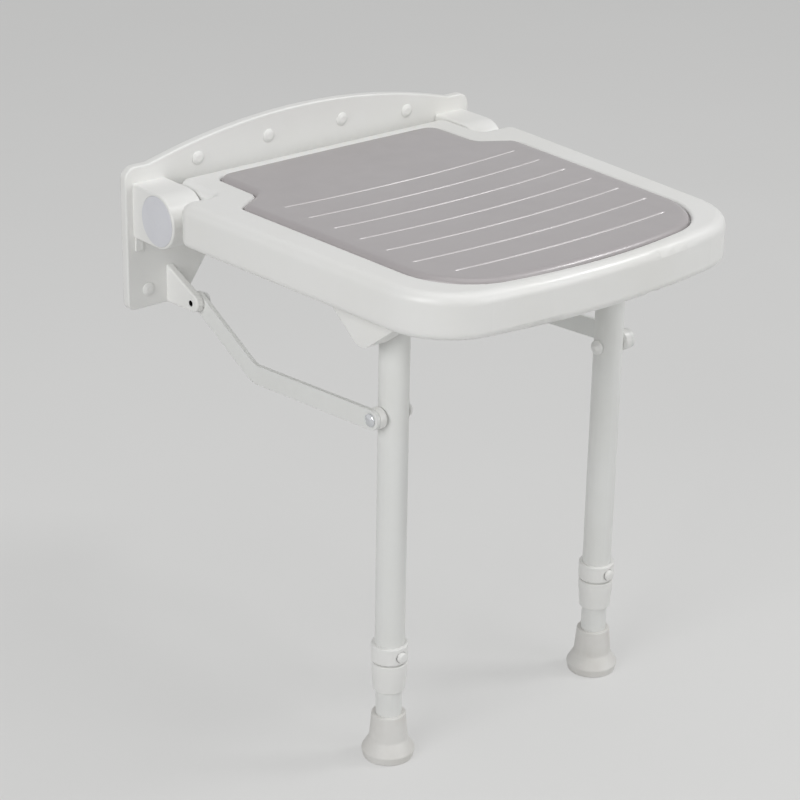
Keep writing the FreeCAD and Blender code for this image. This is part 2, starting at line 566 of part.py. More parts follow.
def make_wall_bracket():
    """Wall plate with an arched top, two hinge housings and two ears for the links."""
    body = new_body("wall_bracket")
    plate = both_sides([
        (size_of(0), s.arch_peak, s.arch_radius),
        (s.shoulder_inner, s.shoulder_rise),
        (s.plate_half, s.shoulder_rise, s.shoulder_radius),
        (s.plate_half, -s.lug_drop, s.lug_radius),
        (s.lug_inner, -s.lug_drop, s.lug_radius / 2),
        (s.waist_half, -s.waist_drop, s.lug_radius * 2),
    ])
    pad(body, trace(new_sketch(body, "plate", "XZ_Plane"), plate), s.plate_thick)
    round_edges(body, "plate_rounding", s.plate_edge, flat_at("Y", -s.plate_thick))
    nose = s.housing_nose - s.gap
    root = -s.plate_thick / 2
    front = hinge_y - s.housing_nose
    housing = slab(body, "housing", 1, s.housing_inner, s.housing_wide, [
        (root, s.housing_nose), (front, s.housing_nose, nose),
        (front, -s.housing_nose, nose), (root, -s.housing_nose),
    ])
    ear_front = hinge_y - s.ear_nose
    ear = slab(body, "ear", 1, s.ear_inner, s.ear_thick, [
        (root, -s.ear_root_drop), (ear_front, -s.ear_shoulder_drop, s.ear_nose),
        (ear_front, ear_z - s.ear_belly, s.ear_nose), (root, ear_z - s.ear_root_bottom),
    ])
    step_front = -(s.plate_thick + s.step_proud)
    step = slab(body, "step", 1, s.housing_outer - s.step_inset - s.step_wide, s.step_wide, [
        (root, -s.housing_nose / 2), (step_front, -s.housing_nose / 2),
        (step_front, -s.step_drop), (root, -s.step_drop),
    ])
    mirror(body, "housings_ears_and_steps", [housing, ear, step])
    faces = [flat_at("X", side * face) for side in (-1, 1) for face in (s.housing_inner, s.housing_outer)]

    def on_housing(edge):
        box = edge.BoundBox
        off_plate = box.YMin < -s.plate_thick.value - CLEAR
        beside_ear = box.ZMin < -s.housing_nose.value - CLEAR
        return off_plate and not beside_ear and any(test(edge) for test in faces)

    round_edges(body, "housing_rounding", s.housing_edge, on_housing)
    ear_faces = [flat_at("X", side * (s.ear_inner + s.ear_thick)) for side in (-1, 1)]

    def on_ear(edge):
        return edge.BoundBox.YMin < -s.plate_thick.value - CLEAR and any(test(edge) for test in ear_faces)

    round_edges(body, "ear_rounding", s.ear_edge, on_ear)
    hollow_far = s.housing_outer - s.hinge_cap_sink - s.hinge_head_thick - 2 * s.housing_wall
    hollow_near = s.housing_inner + s.housing_wall
    hollow_half = s.housing_nose - s.housing_wall
    hollows = new_sketch(body, "hollows", "XZ_Plane")
    for side in (-1, 1):
        trace(hollows, [
            (side * hollow_near, -hollow_half), (side * hollow_far, -hollow_half),
            (side * hollow_far, hollow_half), (side * hollow_near, hollow_half),
        ])
    pocket(body, hollows, s.hinge_depth - s.hinge_pin_radius - s.housing_wall, reverse=True)
    bore = new_sketch(body, "hinge_bore", "YZ_Plane")
    pocket(body, draw_circles(bore, [(hinge_y, 0, s.hinge_pin_radius + s.fit)]))
    seat = new_sketch(body, "cap_seat", "YZ_Plane", s.housing_outer)
    draw_circles(seat, [(hinge_y, 0, s.hinge_cap_radius + s.gap / 2)])
    cap_seat = pocket(body, seat, s.hinge_cap_sink)
    sink = new_sketch(body, "head_seat", "YZ_Plane", s.housing_outer)
    draw_circles(sink, [(hinge_y, 0, s.hinge_head_radius + s.gap)])
    head_seat = pocket(body, sink, s.hinge_cap_sink + s.hinge_head_thick)
    mirror(body, "cap_and_head_seats", [cap_seat, head_seat])
    rivet_hole = new_sketch(body, "rivet_hole", "YZ_Plane")
    pocket(body, draw_circles(rivet_hole, [(hinge_y, ear_z, s.link_pin_radius)]))
    holes = new_sketch(body, "screw_holes", "XZ_Plane")
    draw_circles(holes, [(x, z, s.screw_hole_radius) for x, z in wall_screws()])
    pocket(body, holes, s.plate_thick, reverse=True)
    sinks = new_sketch(body, "screw_sinks", "XZ_Plane", s.plate_thick)
    draw_circles(sinks, [(x, z, s.screw_sink_radius) for x, z in wall_screws()])
    pocket(body, sinks, s.screw_sink_depth)


def wall_screws(rows=("upper", "lower")):
    """Where the wall screws go."""
    upper = [(s.upper_outer_x, s.upper_outer_z), (s.upper_inner_x, s.upper_inner_z)]
    lower = [(s.lower_x, -s.lower_drop)]
    chosen = (upper if "upper" in rows else []) + (lower if "lower" in rows else [])
    return [(side * x, z) for x, z in chosen for side in (-1, 1)]


def make_screw_caps(row):
    """Domed caps that plug the recesses over the wall screws."""
    pieces = []
    for number, (x, z) in enumerate(wall_screws((row,)), start=1):
        stem = s.screw_sink_radius - s.fit
        cap = turned(f"screw_cap_{row}_{number}", [
            (0, -s.screw_sink_depth / 2), (stem, -s.screw_sink_depth / 2), (stem, 0),
            (s.screw_cap_radius, 0), (s.screw_cap_radius, s.screw_cap_rim, s.soft_edge),
            (s.screw_cap_top, s.screw_cap_proud, s.screw_cap_round), (0, s.screw_cap_proud),
        ], along_x=False, kept=False)
        cap.Placement.Rotation = FreeCAD.Rotation(FreeCAD.Vector(1, 0, 0), 90)
        place(cap, x, -s.plate_thick, z)
        pieces.append(cap)
    group = doc.addObject("Part::Compound", f"screw_caps_{row}")
    group.Links = pieces
    finish(f"screw_caps_{row}", group)


def make_hinge(side_name, side):
    """Hinge pin, its clip and end disc on the bracket, and its bush in the seat."""
    half_turn = side < 0
    head_seat = s.housing_outer - s.hinge_cap_sink - s.hinge_head_thick
    thick = s.hinge_cap_sink + s.hinge_cap_proud
    cap = turned(f"hinge_cap_{side_name}", [
        (0, 0), (0, s.hinge_cap_radius),
        (thick - s.hinge_cap_edge, s.hinge_cap_radius, s.hinge_cap_edge), (thick, 0),
    ])
    place(cap, side * (s.housing_outer - s.hinge_cap_sink + s.gap / 2), hinge_y, 0, half_turn)
    clip_outer = s.seat_waist_half - s.bush_length - s.gap
    pin_end = clip_outer - s.clip_thick - s.clip_seat
    tip = pin_end - head_seat
    groove = s.hinge_pin_radius - s.clip_groove
    pin = turned(f"hinge_pin_{side_name}", [
        (tip, 0), (tip, s.hinge_pin_radius),
        (tip + s.clip_seat, s.hinge_pin_radius), (tip + s.clip_seat, groove),
        (tip + s.clip_seat + s.clip_thick, groove),
        (tip + s.clip_seat + s.clip_thick, s.hinge_pin_radius),
        (0, s.hinge_pin_radius), (0, s.hinge_head_radius),
        (s.hinge_head_thick - s.gap, s.hinge_head_radius), (s.hinge_head_thick - s.gap, 0),
    ])
    place(pin, side * head_seat, hinge_y, 0, half_turn)
    clip = turned(f"hinge_clip_{side_name}", [
        (0, groove + s.fit), (0, s.clip_radius),
        (s.clip_thick - s.fit, s.clip_radius), (s.clip_thick - s.fit, groove + s.fit),
    ])
    place(clip, side * (pin_end + s.clip_seat), hinge_y, 0, half_turn)
    bore = s.hinge_pin_radius + s.fit
    bush = turned(f"hinge_bush_{side_name}", [
        (0, bore), (0, s.boss_radius), (-s.bush_flange, s.boss_radius), (-s.bush_flange, bush_radius),
        (-s.bush_length, bush_radius), (-s.bush_length, bore),
    ])
    place(bush, side * (s.seat_waist_half + s.bush_flange), hinge_y, 0, half_turn)


def seat_corners():
    """The seat frame's outline, seen from above."""
    return both_sides([
        (size_of(0), -s.seat_rear),
        (s.seat_waist_half, -s.seat_rear, s.seat_corner),
        (s.seat_waist_half, -s.rail_rear, s.notch_corner),
        (s.rail_half_rear, -s.rail_rear, s.seat_corner),
        (s.rail_half_mid, -s.rail_mid, s.rail_blend),
        (s.rail_half_front, -s.rail_front, s.rail_blend),
        (s.front_half, -s.front_depth, s.front_radius),
        (size_of(0), -s.front_peak, s.bow_radius),
    ])


def cavity_corners(inset):
    """The opening under the seat, drawn in by an inset."""
    side = s.rim + inset
    return both_sides([
        (size_of(0), -(s.seat_rear + side)),
        (s.seat_waist_half - side, -(s.seat_rear + side)),
        (s.seat_waist_half - side, -(s.rail_rear + side)),
        (s.rail_half_rear - side, -(s.rail_rear + side)),
        (s.rail_half_mid - side, -s.rail_mid),
        (s.rail_half_front - side, -s.rail_front),
        (s.front_half - side, -(s.front_depth - side), s.front_radius - side),
        (size_of(0), -(s.front_peak - side), s.bow_radius - side),
    ])


def pad_corners(grow=0):
    """The cushion's outline, let out by a clearance."""
    return both_sides([
        (size_of(0), -(s.pad_rear - grow)),
        (s.pad_narrow_half + grow, -(s.pad_rear - grow), s.pad_corner),
        (s.pad_narrow_half + grow, -(s.pad_narrow_end - grow), s.pad_step_radius),
        (s.pad_wide_half + grow, -(s.pad_wide_start - grow), s.pad_step_radius),
        (s.pad_front_half + grow, -(s.pad_front_depth + grow), s.pad_front_radius + grow),
        (size_of(0), -(s.pad_peak + grow), s.pad_bow_radius),
    ])


def bracket_screws():
    """Screws through the leg brackets: two beside the inner cheek and two between the cheeks."""
    flange = (s.base_inner + s.cheek_inner) / 2
    margin = 2.5 * s.screw_head_radius
    places = (
        (flange, s.leg_depth - s.cheek_reach + 2 * margin),
        (flange, s.leg_depth + s.cheek_reach - 2 * margin),
        (s.leg_x, s.leg_depth - s.cheek_reach + margin),
        (s.leg_x, s.leg_depth + s.base_front - margin),
    )
    return [(side * across, -depth) for side in (-1, 1) for across, depth in places]


def panel_screws():
    """Screws round the edge of the base panel."""
    margin = s.rim + 2 * s.screw_boss_radius
    places = (
        ((s.rib_inner_x + s.rib_outer_x) / 2, s.seat_rear + margin),
        (s.rail_half_mid - margin, s.rail_rear + 2 * margin),
        (s.front_half - 2 * margin, s.front_depth - margin - s.screw_boss_radius),
        ((s.rib_inner_x + s.rib_outer_x) / 2, s.front_depth - s.screw_boss_radius),
    )
    return [(side * across, -depth) for side in (-1, 1) for across, depth in places]


def make_seat_frame():
    """Moulded seat shell, open below, with a shallow recess for the cushion."""
    body = new_body("seat_frame")
    outline = trace(new_sketch(body, "seat_outline", "XY_Plane", seat_bottom), seat_corners())
    pad(body, outline, s.seat_thick)
    round_edges(body, "seat_top_rounding", s.seat_edge_top, flat_at("Z", seat_top))
    round_edges(body, "seat_bottom_rounding", s.seat_edge_bottom, flat_at("Z", seat_bottom))
    cavity = trace(new_sketch(body, "cavity", "XY_Plane", seat_bottom), cavity_corners(size_of(0)))
    pocket(body, cavity, cavity_top - seat_bottom, reverse=True)
    boss_height = cavity_top - panel_top
    bosses = new_sketch(body, "screw_bosses", "XY_Plane", panel_top)
    places = panel_screws() + bracket_screws()
    draw_circles(bosses, [(x, y, s.screw_boss_radius) for x, y in places])
    pad(body, bosses, boss_height)
    ribs = new_sketch(body, "ribs", "XY_Plane", panel_top)
    half = s.rib_thick / 2
    for middle in (s.rib_inner_x, s.rib_outer_x):
        for side in (-1, 1):
            near = -(s.seat_rear + s.rim / 2)
            far = -(s.front_depth + s.front_bulge / 2 - s.rim / 2)
            trace(ribs, [
                (side * middle - half, far), (side * middle + half, far),
                (side * middle + half, near), (side * middle - half, near),
            ])
    pad(body, ribs, boss_height)
    boss = new_sketch(body, "hinge_boss", "YZ_Plane", s.seat_waist_half - s.bush_length)
    draw_circles(boss, [(hinge_y, 0, s.boss_radius)])
    hinge_boss = pad(body, boss, s.bush_length - s.rim / 2)
    mirror(body, "hinge_bosses", [hinge_boss])
    bore = new_sketch(body, "bush_bore", "YZ_Plane", s.seat_waist_half + CLEAR)
    draw_circles(bore, [(hinge_y, 0, bush_radius)])
    bush_bore = pocket(body, bore, s.bush_length + 2 * CLEAR)
    mirror(body, "bush_bores", [bush_bore])
    pilots = new_sketch(body, "screw_pilots", "XY_Plane", panel_top)
    draw_circles(pilots, [(x, y, s.screw_radius) for x, y in places])
    pocket(body, pilots, s.screw_length, reverse=True)
    recess = trace(new_sketch(body, "cushion_recess", "XY_Plane", seat_top), pad_corners(s.gap))
    pocket(body, recess, s.pad_sink)
    round_edges(body, "cushion_lip", s.pad_lip, wall_tops(body, recess_floor, seat_top))


def make_base_panel():
    """Flat panel that closes the seat from below."""
    body = new_body("seat_base_panel")
    outline = trace(new_sketch(body, "panel_outline", "XY_Plane", seat_bottom), cavity_corners(s.gap / 2))
    pad(body, outline, s.panel_thick)
    holes = new_sketch(body, "panel_holes", "XY_Plane", seat_bottom)
    draw_circles(holes, [(x, y, s.screw_radius + s.fit) for x, y in bracket_screws()])
    pocket(body, holes, s.panel_thick, reverse=True)
    cones = []
    for number, (x, y) in enumerate(panel_screws(), start=1):
        cones.append(screw(f"panel_cut_{number}", x, y, seat_bottom, s.fit))
    tool = doc.addObject("Part::Compound", "panel_cuts")
    tool.Links = cones
    cut = doc.addObject("Part::Cut", "panel_cut")
    cut.Base = body
    cut.Tool = tool
    finish("seat_base_panel", cut)
    body.Label = "panel_blank"


def screw(name, x, y, under, grow=0):
    """A countersunk screw, head down, flush with a face at a height."""
    sink = s.screw_head_radius - s.screw_radius
    head = doc.addObject("Part::Cone", name + "_head")
    bind(head, Radius1=s.screw_head_radius + grow, Radius2=s.screw_radius + grow, Height=sink)
    place(head, x, y, under)
    shank = doc.addObject("Part::Cylinder", name + "_shank")
    bind(shank, Radius=s.screw_radius + grow, Height=s.screw_length)
    place(shank, x, y, under)
    whole = doc.addObject("Part::Fuse", name)
    whole.Base = head
    whole.Tool = shank
    return whole


def make_screws(label, places, under):
    group = doc.addObject("Part::Compound", label)
    group.Links = [
        screw(f"{label}_{number}", x, y, under, -s.fit / 2)
        for number, (x, y) in enumerate(places, start=1)
    ]
    finish(label, group)


def make_cushion():
    """Soft moulded pad with a slight crown, rounded edges and seven bowed channels."""
    body = doc.addObject("PartDesign::Body", "cushion_blank")
    bottom = recess_floor + s.gap / 2
    top = seat_top + s.pad_proud
    outline = trace(new_sketch(body, "cushion_outline", "XY_Plane", bottom), pad_corners())
    pad(body, outline, top - bottom)
    round_edges(body, "cushion_rounding", s.pad_edge, flat_at("Z", top))
    crown = doc.addObject("Part::Sphere", "crown")
    bind(crown, Radius=s.pad_crown_radius)
    crown.Placement.Rotation = FreeCAD.Rotation(FreeCAD.Vector(0, 1, 0), 90)
    place(crown, 0, -(s.pad_rear + s.pad_front_depth) / 2, top - s.pad_crown_radius)
    crowned = doc.addObject("Part::Common", "crowned_cushion")
    crowned.Base = body
    crowned.Tool = crown
    cuts = []
    for number in range(CHANNELS):
        half = s.channel_last_half if number == CHANNELS - 1 else s.channel_half
        ends = -(s.channel_first + number * s.channel_room / (CHANNELS - 1))
        radius = (half * half / s.channel_bow + s.channel_bow) / 2
        centre = ends - s.channel_bow + radius
        ring_outer = doc.addObject("Part::Cylinder", f"channel_outer_{number + 1}")
        ring_inner = doc.addObject("Part::Cylinder", f"channel_inner_{number + 1}")
        for ring, reach in ((ring_outer, s.channel_wide / 2), (ring_inner, -s.channel_wide / 2)):
            bind(ring, Radius=radius + reach, Height=s.channel_deep * 2)
            place(ring, 0, centre, top - s.channel_deep)
        ring = doc.addObject("Part::Cut", f"channel_ring_{number + 1}")
        ring.Base = ring_outer
        ring.Tool = ring_inner
        window = doc.addObject("Part::Box", f"channel_window_{number + 1}")
        bind(window, Length=half * 2, Width=s.channel_bow * 3, Height=s.channel_deep * 2)
        place(window, -half, ends - s.channel_bow * 2, top - s.channel_deep)
        channel = doc.addObject("Part::Common", f"channel_{number + 1}")
        channel.Base = ring
        channel.Tool = window
        cuts.append(channel)
    tool = doc.addObject("Part::Compound", "channels")
    tool.Links = cuts
    cushion = doc.addObject("Part::Cut", "seat_cushion")
    cushion.Base = crowned
    cushion.Tool = tool
    finish("seat_cushion", cushion)


def make_leg_bracket(side_name, side):
    """Base with two rounded cheeks that hold the leg's pivot pin under the seat."""
    body = doc.addObject("PartDesign::Body", f"leg_bracket_blank_{side_name}")
    near = -(s.leg_depth - s.cheek_reach)
    far = -(s.leg_depth + s.base_front)
    under = seat_bottom - s.base_thick
    base = new_sketch(body, f"bracket_base_{side_name}", "XY_Plane", under)
    trace(base, [
        (side * s.base_inner, near, s.base_thick), (side * s.base_inner, far, s.base_thick),
        (side * s.cheek_outer, far, s.base_thick), (side * s.cheek_outer, near, s.base_thick),
    ])
    pad(body, base, s.base_thick)
    root = under + s.base_thick / 2
    cheek = [
        (-(s.leg_depth - s.cheek_reach), root),
        (leg_y, pivot_z - s.cheek_point, s.cheek_nose),
        (-(s.leg_depth + s.cheek_reach), root),
    ]
    slab(body, f"outer_cheek_{side_name}", side, s.cheek_face, s.cheek_outer - s.cheek_face, cheek)
    slab(body, f"inner_cheek_{side_name}", side, s.cheek_inner, s.inner_cheek_face - s.cheek_inner, cheek)
    bore = new_sketch(body, f"pivot_bore_{side_name}", "YZ_Plane", side * s.cheek_inner)
    draw_circles(bore, [(leg_y, pivot_z, s.pivot_radius)])
    pocket(body, bore, s.pivot_end + s.gap - s.cheek_inner, reverse=side > 0)
    places = [(x, y) for x, y in bracket_screws() if x.value * side > 0]
    cuts = doc.addObject("Part::Compound", f"bracket_cuts_{side_name}")
    cuts.Links = [
        screw(f"bracket_cut_{side_name}_{number}", x, y, under, s.fit)
        for number, (x, y) in enumerate(places, start=1)
    ]
    cut = doc.addObject("Part::Cut", f"leg_bracket_{side_name}")
    cut.Base = body
    cut.Tool = cuts
    finish(f"leg_bracket_{side_name}", cut)


def make_leg_pivot(side_name, side):
    """Headed pin through the leg's top, and the two washers beside the tube."""
    half_turn = side < 0
    length = s.pivot_end - s.cheek_inner
    pin = turned(f"leg_pivot_pin_{side_name}", [
        (-s.pivot_head_thick, 0), (-s.pivot_head_thick, s.pivot_head_radius, s.soft_edge),
        (0, s.pivot_head_radius), (0, s.pivot_radius), (length, s.pivot_radius, s.soft_edge), (length, 0),
    ])
    place(pin, side * s.cheek_inner, leg_y, pivot_z, half_turn)
    washers = []
    for number, inner in enumerate((s.inner_cheek_face, s.tube_side + s.gap), start=1):
        disc = doc.addObject("Part::Cylinder", f"washer_disc_{side_name}_{number}")
        hole = doc.addObject("Part::Cylinder", f"washer_hole_{side_name}_{number}")
        start = inner if side > 0 else -(inner + s.cheek_gap - s.gap)
        for item, radius in ((disc, s.pivot_washer_radius), (hole, s.pivot_radius + s.fit)):
            bind(item, Radius=radius, Height=s.cheek_gap - s.gap)
            item.Placement.Rotation = FreeCAD.Rotation(FreeCAD.Vector(0, 1, 0), 90)
            place(item, start, leg_y, pivot_z)
        washer = doc.addObject("Part::Cut", f"pivot_washer_{side_name}_{number}")
        washer.Base = disc
        washer.Tool = hole
        washers.append(washer)
    group = doc.addObject("Part::Compound", f"pivot_washers_{side_name}")
    group.Links = washers
    finish(f"pivot_washers_{side_name}", group)


def cross_bore(body, name, plane, across, up, radius):
    """A round hole through the middle of a turned body, in its own frame."""
    return pocket(body, draw_circles(new_sketch(body, name, plane), [(across, up, radius)]))


def make_leg(side_name, side):
    """Outer leg tube with its top plug, end sleeve, lock ring and button."""
    x = side * s.leg_x
    tube_end = floor + s.sleeve_bottom + s.sleeve_lip
    tube = turned(f"leg_tube_{side_name}", [
        (tube_bore, tube_end), (s.tube_radius, tube_end), (s.tube_radius, tube_top), (tube_bore, tube_top),
    ], along_x=False)
    cross_bore(tube, f"tube_pivot_{side_name}", "YZ_Plane", 0, pivot_z, s.pivot_radius + s.gap)
    cross_bore(tube, f"tube_joint_{side_name}", "YZ_Plane", 0, joint_z, s.link_pin_radius)
    latch = new_sketch(tube, f"tube_latch_{side_name}", "XZ_Plane")
    pocket(tube, draw_circles(latch, [(0, button_z, s.hole_radius)]), s.tube_radius + CLEAR, reverse=True)
    place(tube, x, leg_y, 0)
    plug_radius = tube_bore - s.fit
    cap_radius = s.tube_radius - s.soft_edge
    plug_top = tube_top + s.plug_cap
    plug_low = tube_top - s.plug_length
    plug = turned(f"leg_top_plug_{side_name}", [
        (0, plug_top), (0, plug_low), (plug_radius, plug_low, s.soft_edge),
        (plug_radius, tube_top), (cap_radius, tube_top), (cap_radius, plug_top, s.soft_edge),
    ], along_x=False)
    cross_bore(plug, f"plug_pivot_{side_name}", "YZ_Plane", 0, pivot_z, s.pivot_radius + s.fit)
    place(plug, x, leg_y, 0)
    sleeve_low = floor + s.sleeve_bottom
    sleeve_high = sleeve_low + s.sleeve_height
    slide = s.inner_tube_radius + s.slide_fit
    sleeve = turned(f"leg_sleeve_{side_name}", [
        (slide, sleeve_low), (s.sleeve_foot_radius, sleeve_low, s.soft_edge),
        (s.sleeve_radius, sleeve_high - s.sleeve_band),
        (s.sleeve_radius, sleeve_high, s.soft_edge), (s.tube_radius, sleeve_high),
        (s.tube_radius, tube_end), (slide, tube_end),
    ], along_x=False)
    place(sleeve, x, leg_y, 0)
    ring_low = floor + s.ring_bottom
    ring_high = ring_low + s.ring_height
    ring = turned(f"lock_ring_{side_name}", [
        (s.tube_radius, ring_low), (s.ring_radius, ring_low, s.soft_edge),
        (s.ring_radius, ring_high, s.soft_edge), (s.tube_radius, ring_high),
    ], along_x=False)
    slot = new_sketch(ring, f"ring_slot_{side_name}", "XZ_Plane")
    trace(slot, [
        (-s.ring_slot / 2, ring_low - CLEAR), (s.ring_slot / 2, ring_low - CLEAR),
        (s.ring_slot / 2, ring_high + CLEAR), (-s.ring_slot / 2, ring_high + CLEAR),
    ])
    pocket(ring, slot, s.ring_radius + CLEAR)
    window = new_sketch(ring, f"ring_window_{side_name}", "XZ_Plane")
    draw_circles(window, [(0, button_z, s.button_radius + s.gap)])
    pocket(ring, window, s.ring_radius + CLEAR, reverse=True)
    place(ring, x, leg_y, 0)
    make_button(side_name, x)


def make_button(side_name, x):
    """Lock button: a round nub on the front of the ring, and a stem that enters the tube's hole."""
    body = new_body(f"lock_button_{side_name}")
    nub_face = s.ring_radius + s.button_proud
    nub_root = s.tube_radius + s.button_travel + s.gap
    stem_end = s.inner_tube_radius + s.button_travel + s.gap
    nub = new_sketch(body, f"button_nub_{side_name}", "XZ_Plane", nub_root)
    draw_circles(nub, [(0, 0, s.button_radius)])
    pad(body, nub, nub_face - nub_root)
    round_edges(body, f"button_rounding_{side_name}", s.button_round, flat_at("Y", -nub_face))
    stem = new_sketch(body, f"button_stem_{side_name}", "XZ_Plane", stem_end)
    draw_circles(stem, [(0, 0, s.hole_radius - 2 * s.gap)])
    pad(body, stem, nub_root + s.gap - stem_end)
    place(body, x, leg_y, button_z)


def make_extension(side_name, side):
    """Inner leg tube with its height holes, the guide on its top and its rubber foot."""
    x = side * s.leg_x
    low = floor + s.foot_sole
    high = floor + s.inner_tube_top
    bore = s.inner_tube_radius - s.inner_tube_wall
    tube = turned(f"inner_tube_{side_name}", [
        (bore, low), (s.inner_tube_radius, low), (s.inner_tube_radius, high), (bore, high),
    ], along_x=False)
    holes = new_sketch(tube, f"height_holes_{side_name}", "XZ_Plane")
    draw_circles(holes, [(0, button_z + step * s.hole_pitch, s.hole_radius) for step in HEIGHT_HOLES])
    pocket(tube, holes, s.inner_tube_radius + CLEAR, reverse=True)
    place(tube, x, leg_y, 0)
    guide_radius = tube_bore - s.slide_fit
    stem_low = high - s.guide_stem
    guide = turned(f"tube_guide_{side_name}", [
        (0, stem_low), (bore - s.fit, stem_low, s.soft_edge), (bore - s.fit, high), (guide_radius, high),
        (guide_radius, high + s.guide_cap), (0, high + s.guide_cap),
    ], along_x=False)
    place(guide, x, leg_y, 0)
    socket = s.inner_tube_radius + s.fit
    foot = turned(f"foot_{side_name}", [
        (0, floor), (s.foot_base_radius, floor, s.foot_sole_edge),
        (s.foot_flare_radius, floor + s.foot_flare_height, s.foot_flare_edge),
        (s.foot_neck_radius, floor + s.foot_neck_height, s.foot_neck_round),
        (s.foot_top_radius, floor + s.foot_height, s.soft_edge), (socket, floor + s.foot_height),
        (socket, low), (0, low),
    ], along_x=False)
    place(foot, x, leg_y, 0)


def make_link(side_name, side):
    """Flat dog-leg bar from the ear to the leg, with its rivet, washers, bolt and cap nut."""
    half_turn = side < 0
    middle = doc.addObject("Sketcher::SketchObject", f"link_middle_{side_name}")
    middle.Placement.Rotation = FreeCAD.Rotation(FreeCAD.Vector(1, 1, 1), 120)
    start = s.link_inner if side > 0 else -s.link_outer
    bind(middle, Placement__Base__x=start)
    trace(middle, [
        (hinge_y, ear_z), (-s.link_elbow_depth, -s.link_elbow_drop, s.link_bend_radius), (leg_y, joint_z),
    ], closed=False)
    outline = doc.addObject("Part::Offset2D", f"link_outline_{side_name}")
    outline.Source = middle
    outline.Mode = "Pipe"
    outline.Join = "Arc"
    outline.Fill = True
    bind(outline, Value=s.link_half_wide)
    bar = doc.addObject("Part::Extrusion", f"link_bar_{side_name}")
    bar.Base = outline
    bar.DirMode = "Custom"
    bar.Dir = FreeCAD.Vector(1, 0, 0)
    bar.Solid = True
    bind(bar, LengthFwd=s.link_thick)
    cuts = []
    for name, y, z, radius in (
        ("ear", hinge_y, ear_z, s.link_pin_radius + s.fit),
        ("leg", leg_y, joint_z, s.link_pin_radius + s.link_play),
    ):
        hole = doc.addObject("Part::Cylinder", f"link_{name}_hole_{side_name}")
        hole.Placement.Rotation = FreeCAD.Rotation(FreeCAD.Vector(0, 1, 0), 90)
        bind(hole, Radius=radius, Height=s.link_thick * 2)
        place(hole, start - s.link_thick / 2, y, z)
        cuts.append(hole)
    holes = doc.addObject("Part::Compound", f"link_holes_{side_name}")
    holes.Links = cuts
    link = doc.addObject("Part::Cut", f"brace_link_{side_name}")
    link.Base = bar
    link.Tool = holes
    finish(f"brace_link_{side_name}", link)
    ear_outer = s.ear_inner + s.ear_thick
    flange = s.link_inner - s.gap
    rivet = turned(f"link_rivet_{side_name}", [
        (ear_outer - flange, s.rivet_bore), (ear_outer - flange, s.link_pin_radius),
        (0, s.link_pin_radius), (0, s.rivet_head_radius),
        (-s.rivet_head_thick, s.rivet_head_radius, s.rivet_head_round),
        (-s.rivet_head_thick, s.rivet_bore),
    ])
    place(rivet, side * flange, hinge_y, ear_z, half_turn)
    washer = turned(f"link_washer_{side_name}", [
        (0, s.link_pin_radius + s.fit), (0, s.washer_radius, s.fine_edge),
        (s.washer_room - s.gap, s.washer_radius), (s.washer_room - s.gap, s.link_pin_radius + s.fit),
    ])
    place(washer, side * (s.link_outer + s.gap), hinge_y, ear_z, half_turn)
    head = s.link_outer + s.gap
    tail = s.leg_x - s.tube_radius - head - s.bolt_reach
    bolt = turned(f"link_bolt_{side_name}", [
        (tail, 0), (tail, s.link_pin_radius - s.fit), (0, s.link_pin_radius - s.fit),
        (0, s.bolt_head_radius), (s.bolt_head_rim, s.bolt_head_radius, s.soft_edge),
        (s.bolt_head_thick, s.bolt_head_top, s.dome_round), (s.bolt_head_thick, 0),
    ])
    place(bolt, side * head, leg_y, joint_z, half_turn)
    far = s.link_inner - s.gap - s.tube_side
    spacer = turned(f"link_spacer_{side_name}", [
        (0, s.link_pin_radius), (0, s.spacer_foot_radius), (s.spacer_chamfer, s.spacer_radius),
        (far, s.spacer_radius, s.fine_edge), (far, s.link_pin_radius),
    ])
    place(spacer, side * s.tube_side, leg_y, joint_z, half_turn)
    dome = turned(f"bolt_cap_{side_name}", [
        (0, s.link_pin_radius), (0, s.dome_radius), (-s.dome_rim, s.dome_radius, s.soft_edge),
        (-s.dome_height, s.dome_top, s.dome_round), (-s.dome_height, 0), (-s.bolt_reach - s.gap, 0),
        (-s.bolt_reach - s.gap, s.link_pin_radius),
    ])
    place(dome, side * (s.leg_x - s.tube_radius), leg_y, joint_z, half_turn)


make_wall_bracket()
make_screw_caps("upper")
make_screw_caps("lower")
make_seat_frame()
make_base_panel()
make_screws("panel_screws", panel_screws(), seat_bottom)
make_screws("bracket_screws", bracket_screws(), seat_bottom - s.base_thick)
make_cushion()
for side_name, side in SIDES:
    make_hinge(side_name, side)
    make_leg_bracket(side_name, side)
    make_leg_pivot(side_name, side)
    make_leg(side_name, side)
    make_extension(side_name, side)
    make_link(side_name, side)
doc.recompute()

for item in doc.Objects:
    if "Invalid" in item.State or "Error" in item.State:
        raise RuntimeError(f"{item.Name} failed: {item.State}")
for label, item in finished.items():
    if item.Shape.isNull() or not item.Shape.isValid():
        raise RuntimeError(f"{label} has no valid shape")

os.makedirs("parts", exist_ok=True)
for label, item in finished.items():
    item.Shape.exportStep(f"parts/{label}.step")
    print(label, len(item.Shape.Solids), round(item.Shape.Volume))
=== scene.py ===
import bpy
import bmesh
from math import radians, tan, exp
from mathutils import Matrix, Vector


